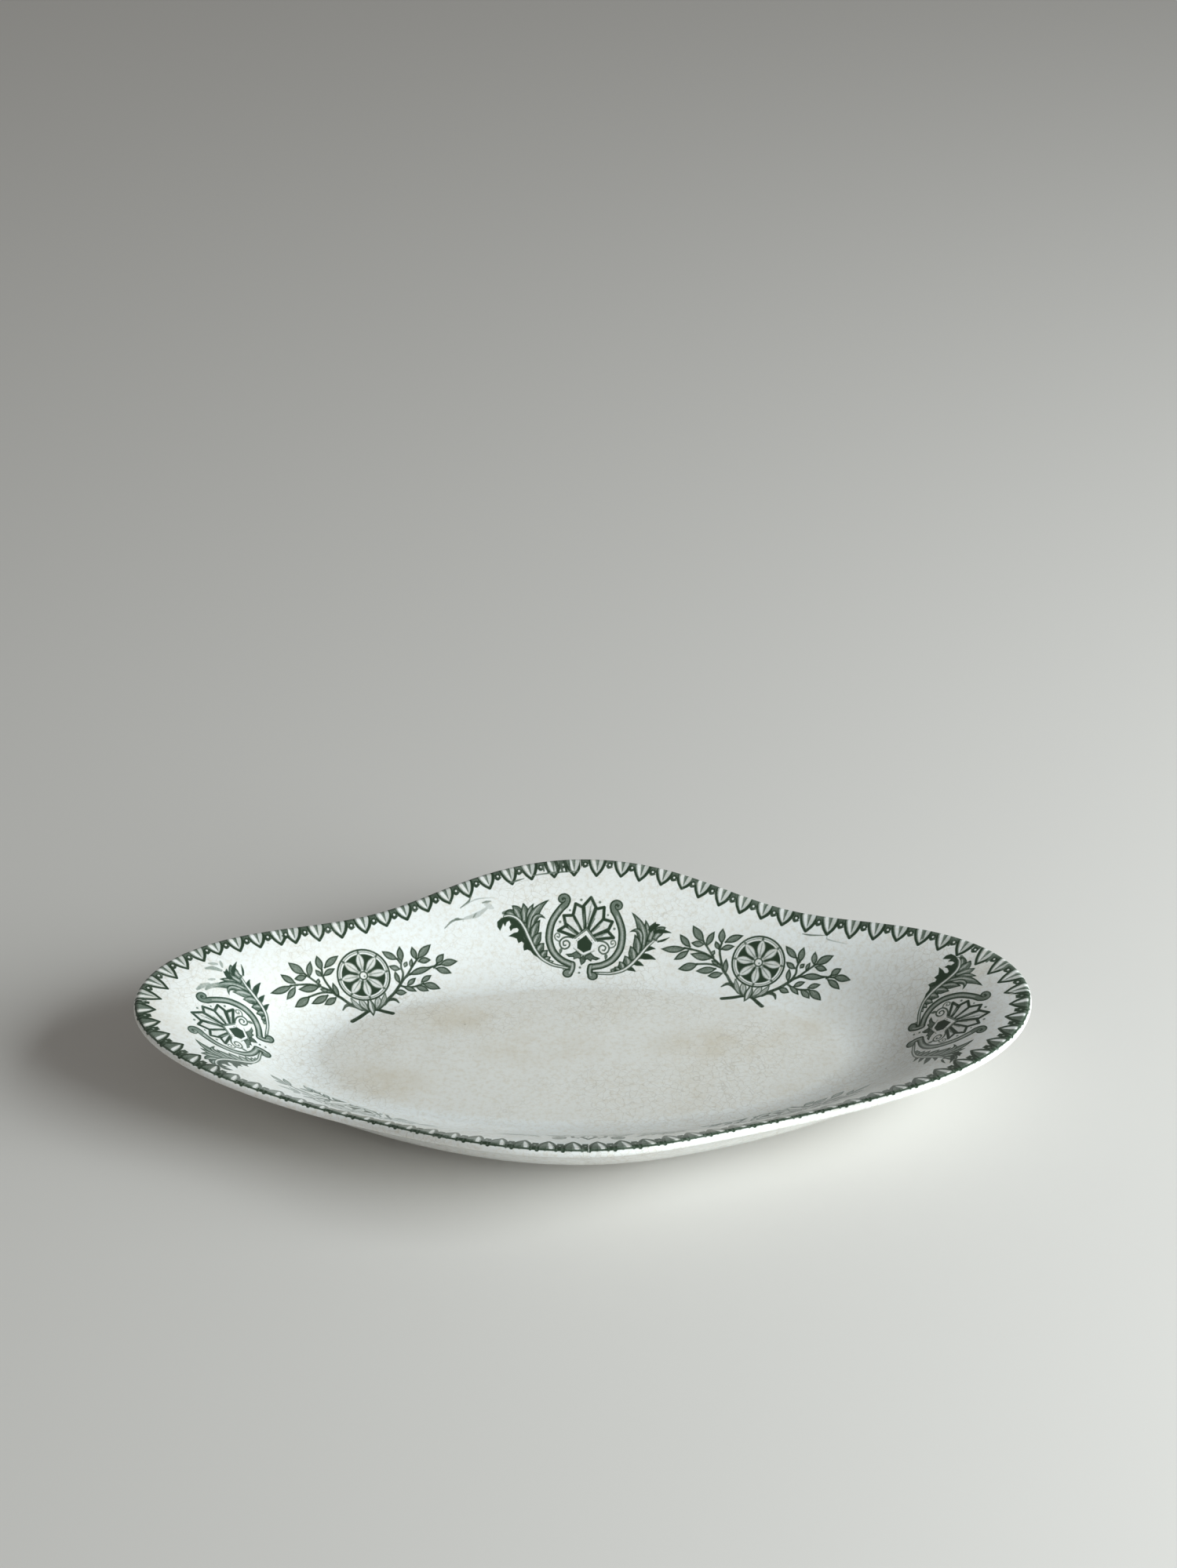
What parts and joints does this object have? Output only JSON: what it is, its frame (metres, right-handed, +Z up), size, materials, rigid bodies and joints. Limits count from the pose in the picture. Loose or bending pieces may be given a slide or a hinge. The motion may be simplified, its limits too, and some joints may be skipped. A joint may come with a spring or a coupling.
{
  "type": "appetizer dish",
  "caption": "Oval earthenware appetizer dish with a flared, lobed rim, a flat well and a low foot, printed in green with a leaf-tip border, palmettes and rosettes.",
  "frame": {"origin": "on the table, under the middle of the dish", "axes": "+X along the dish's length, +Y across it, +Z up"},
  "size_m": [0.25, 0.1358, 0.0281],
  "materials": {
    "glazed_earthenware": "clear glaze over white earthenware",
    "foot_biscuit": "glazed sides, ground bare land",
    "green_print": "green print under a clear glaze"
  },
  "bodies": {
    "root": {"dish_body": "glazed_earthenware", "foot_ring": "foot_biscuit", "border_back_right": "green_print", "border_back_left": "green_print", "border_front_left": "green_print", "border_front_right": "green_print", "palmette_back": "green_print", "palmette_front": "green_print", "palmette_left": "green_print", "palmette_right": "green_print", "rosette_back_left": "green_print", "rosette_back_right": "green_print", "rosette_front_left": "green_print", "rosette_front_right": "green_print"}
  },
  "joints": []
}
